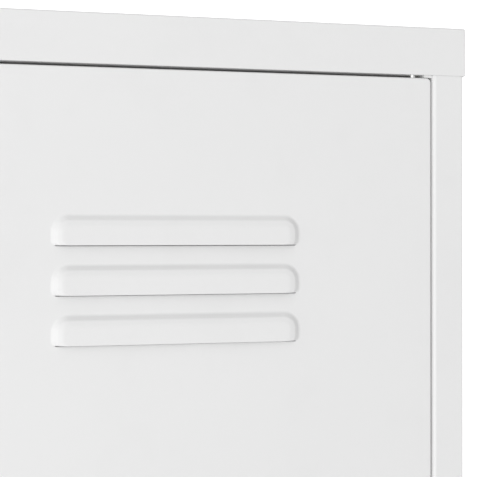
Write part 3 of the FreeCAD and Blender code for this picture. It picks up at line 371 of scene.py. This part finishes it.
# the pan, from the rim of its flat front over the edge and round to the hem
rows = []
section = [(RIM, 0), (0, 0), (0, door_depth), (HEM, door_depth)]
edge_path = rounded_path(section, [DOOR_EDGE, DOOR_EDGE], BEND_STEPS)
for inset, depth in edge_path:
    low = (door_low.x + inset, door_low.z + inset)
    high = (door_high.x - inset, door_high.z - inset)
    ring = rounded_ring(low, high, max(DOOR_CORNER - inset, SHARPEST_CORNER), BEND_STEPS)
    rows.append([door.verts.new((x, face_y + depth, z)) for x, z in ring])
for first, second in zip(rows, rows[1:]):
    joined(door, first, second)
flat_edges = [door.edges.get((vert, rows[0][spot - 1])) for spot, vert in enumerate(rows[0])]

# the louvers, each from the flat sheet up a steep slope, then a gentle one, to the crest
steps_down = [row * LOUVER_PITCH for row in range(LOUVERS_IN_A_GROUP)]
lips = [door_high.z - LOUVER_MARGIN - LOUVER_HEIGHT - step for step in steps_down]
lips += [door_low.z + LOUVER_MARGIN + step for step in steps_down]
slope = [(-FOOT_WIDTH, 0), (0, 0), (SHOULDER_IN, SHOULDER_PROUD), (END_SLOPE, proud_by),
         (END_SLOPE + CREST_WIDTH, proud_by)]
slope_path = rounded_path(slope, [FOOT_RADIUS, SHOULDER_RADIUS, CREST_RADIUS], BEND_STEPS)
for lip in lips:
    rows = []
    for inset, proud in slope_path:
        half = LOUVER_HALF - inset
        top_inset = inset * TOP_SLOPE / END_SLOPE
        top = lip + LOUVER_HEIGHT - top_inset
        wide, tall = LOUVER_CORNER - inset, LOUVER_CORNER - top_inset
        outline = [(inward - half, lip + upward) for inward, upward in CURL]
        for side, start in ((-1, math.pi), (1, math.pi / 2)):
            for step in range(CORNER_STEPS + 1):
                angle = start - math.pi / 2 * step / CORNER_STEPS
                outline.append((side * (half - wide) + wide * math.cos(angle),
                                top - tall + tall * math.sin(angle)))
        outline += [(half - inward, lip + upward) for inward, upward in reversed(CURL)]
        rows.append([door.verts.new((x, face_y - proud, z)) for x, z in outline])
    for first, second in zip(rows, rows[1:]):
        joined(door, first, second, closed=False)
    door.faces.new(rows[-1])
    slit = LOUVER_HALF - LOUVER_SLIT_END
    loop = rows[0] + [door.verts.new((side * slit, face_y, lip - LOUVER_SLIT)) for side in (1, -1)]
    for first, second in zip(loop, loop[1:] + loop[:1]):
        flat_edges.append(door.edges.get((first, second)) or door.edges.new((first, second)))

# the flat front between the rim and the louvers
bmesh.ops.triangle_fill(door, use_beauty=True, use_dissolve=False, edges=flat_edges, normal=OUTWARDS)
bmesh.ops.remove_doubles(door, verts=door.verts, dist=MERGE_DISTANCE)
door_skin = put("door_pressing", door, "door", coat, ["door_panel"], OUTWARDS)
gauge = door_skin.modifiers.new("sheet_gauge", "SOLIDIFY")
gauge.thickness = SHEET
gauge.offset = -1
gauge.use_even_offset = False
weigh(door_skin)


# The fasteners, shelf clips, hinge plates, rods and lock plates: pressed, drawn or turned steel, bright zinc
# plated, then screwed, spot-welded or clipped in place. The plating has a faint spangle and drawing lines.

ZINC_EDGE = 0.0002


def zinc_plate(tree, place):
    spangle = tree.node("ShaderNodeTexVoronoi", {}, {"Vector": place, "Scale": 260.0}, "Color").part("X")
    cloud = noise(tree, place, 40, 3.0)
    drawn = noise(tree, place.times(1, 1, 0.04), 2600, 1.0)
    tone = blend(tree, cloud, (0.60, 0.61, 0.62), (0.74, 0.74, 0.73))
    return tree.node("ShaderNodeBsdfPrincipled", {},
                     {"Base Color": tone, "Metallic": 1.0, "Roughness": spangle * 0.10 + cloud * 0.12 + 0.24,
                      "Normal": bump(tree, drawn, 0.00001, 0.4)})


zinc = finish("zinc_plated_steel", zinc_plate)
for node in ("back_panel_screws", "back_panel_nuts", "foot_nuts", "shelf_clip_front_left",
             "shelf_clip_front_right", "shelf_clip_rear_left", "shelf_clip_rear_right", "top_hinge_plate",
             "bottom_hinge_plate", "lock_backplate", "latch_cam", "cam_screw", "crank_pins", "handle_spindle",
             "upper_locking_rod", "lower_locking_rod", "lock_nut", "lock_body"):
    refined(node, "plated", zinc, ZINC_EDGE)


# The pivot pins: 4 mm bright steel, turned, riveted into the hinge plates. They have fine rings from the
# lathe and ends rounded to enter their bushes.

PIN_END = 0.0005


def turned_steel(tree, place):
    rings = noise(tree, place.times(0.02, 0.02, 1), 5200, 1.0)
    stain = noise(tree, place, 300, 2.0)
    return tree.node("ShaderNodeBsdfPrincipled", {},
                     {"Base Color": blend(tree, stain, (0.84, 0.84, 0.84), (0.93, 0.93, 0.93)),
                      "Metallic": 1.0, "Roughness": rings * 0.1 + 0.40,
                      "Normal": bump(tree, rings, 0.00001, 0.5)})


bright = finish("bright_steel", turned_steel)
for node in ("top_pivot_pin", "bottom_pivot_pin"):
    refined(node, "turned", bright, PIN_END, 3)


# The hanging rail: thin steel tube, drawn, cut square and chromed, with faint drawing lines along it. Its
# ends rest in the two sockets.

TUBE_EDGE = 0.0002


def drawn_chrome(tree, place):
    lines = noise(tree, place.times(0.01, 1, 1), 1800, 1.0)
    haze = noise(tree, place, 22, 3.0)
    return tree.node("ShaderNodeBsdfPrincipled", {},
                     {"Base Color": blend(tree, haze, (0.76, 0.77, 0.78), (0.84, 0.84, 0.85)),
                      "Metallic": 1.0, "Roughness": haze * 0.10 + lines * 0.04 + 0.04,
                      "Normal": bump(tree, lines, 0.000006, 0.5)})


chrome = finish("chrome_tube", drawn_chrome)
refined("hanging_rail", "drawn", chrome, TUBE_EDGE)


# The lever and its rosette: die-cast zinc with satin chrome, polished where fingers pull. The rosette is
# clamped to the door by the lock's barrel and nut, and the lever turns in it.

CAST_EDGE = 0.0005


def satin_plate(tree, place):
    grain = noise(tree, place, 3000, 1.0)
    wear = noise(tree, place, 55, 3.0).between(0.45, 0.75)
    return tree.node("ShaderNodeBsdfPrincipled", {},
                     {"Base Color": blend(tree, wear, (0.66, 0.66, 0.67), (0.76, 0.76, 0.77)),
                      "Metallic": 1.0, "Roughness": 0.36 - wear * 0.12 + grain * 0.05,
                      "Normal": bump(tree, grain, 0.00002, 0.4)})


satin = finish("satin_chrome", satin_plate)
for node in ("lever_handle", "handle_rosette"):
    refined(node, "cast", satin, CAST_EDGE, 3)


# The lock core: turned brass, nickelled, and warmer where the key has rubbed the plating. It turns inside the
# lever's hub.

CORE_EDGE = 0.0003


def nickelled_brass(tree, place):
    scratches = noise(tree, place, 1400, 2.0)
    wear = noise(tree, place, 420, 2.0).between(0.5, 0.7)
    return tree.node("ShaderNodeBsdfPrincipled", {},
                     {"Base Color": blend(tree, wear, (0.72, 0.70, 0.64), (0.72, 0.58, 0.36)),
                      "Metallic": 1.0, "Roughness": scratches * 0.15 + 0.2,
                      "Normal": bump(tree, scratches, 0.00002, 0.3)})


brass = finish("brass_core", nickelled_brass)
refined("lock_cylinder", "nickelled", brass, CORE_EDGE)


# Moulded plastics: white nylon bushes, guides and keepers pushed into the sheet, grey rail sockets and coat
# hooks, and black levelling feet. All are injection moulded with a fine satin grain.

BUSH_EDGE = 0.0002
GUIDE_EDGE = 0.0004
HOOK_EDGE = 0.0007
FOOT_EDGE = 0.0004


def moulded(first, second, roughness, relief):
    """A shader for a moulded plastic whose colour lies between two."""
    def surface_of(tree, place):
        flow = noise(tree, place, 60, 3.0)
        grain = noise(tree, place, 2600, 1.0)
        return tree.node("ShaderNodeBsdfPrincipled", {},
                         {"Base Color": blend(tree, flow, first, second),
                          "Roughness": flow * 0.1 + grain * 0.08 + roughness,
                          "Normal": bump(tree, grain, 0.00004, relief)})
    return surface_of


nylon = finish("white_nylon", moulded((0.72, 0.72, 0.69), (0.80, 0.80, 0.78), 0.36, 0.3))
grey = finish("grey_plastic", moulded((0.16, 0.165, 0.17), (0.19, 0.195, 0.20), 0.40, 0.7))
black = finish("black_nylon", moulded((0.018, 0.018, 0.020), (0.028, 0.028, 0.030), 0.42, 0.8))
for node in ("top_pivot_bush", "bottom_pivot_bush"):
    refined(node, "moulded", nylon, BUSH_EDGE)
for node in ("top_rod_keeper", "bottom_rod_keeper", "top_rod_guide", "bottom_rod_guide"):
    refined(node, "moulded", nylon, GUIDE_EDGE, 3)
for node in ("rail_socket_left", "rail_socket_right", "coat_hook_1", "coat_hook_2", "coat_hook_3"):
    refined(node, "moulded", grey, HOOK_EDGE, 3)
for node in ("levelling_foot_front_left", "levelling_foot_front_right", "levelling_foot_rear_left",
             "levelling_foot_rear_right"):
    refined(node, "moulded", black, FOOT_EDGE)


# The buffers: soft clear rubber dots stuck on the stop angle inside the jamb, which quieten the closing door.

DOT_EDGE = 0.0003


def clear_rubber(tree, place):
    haze = noise(tree, place, 500, 2.0)
    return tree.node("ShaderNodeBsdfPrincipled", {},
                     {"Base Color": blend(tree, haze, (0.74, 0.76, 0.76), (0.84, 0.85, 0.85)),
                      "Roughness": haze * 0.2 + 0.15, "Transmission Weight": 0.5, "IOR": 1.45,
                      "Normal": bump(tree, haze, 0.00005, 0.4)})


rubber = finish("clear_rubber", clear_rubber)
refined("door_buffers", "soft", rubber, DOT_EDGE)
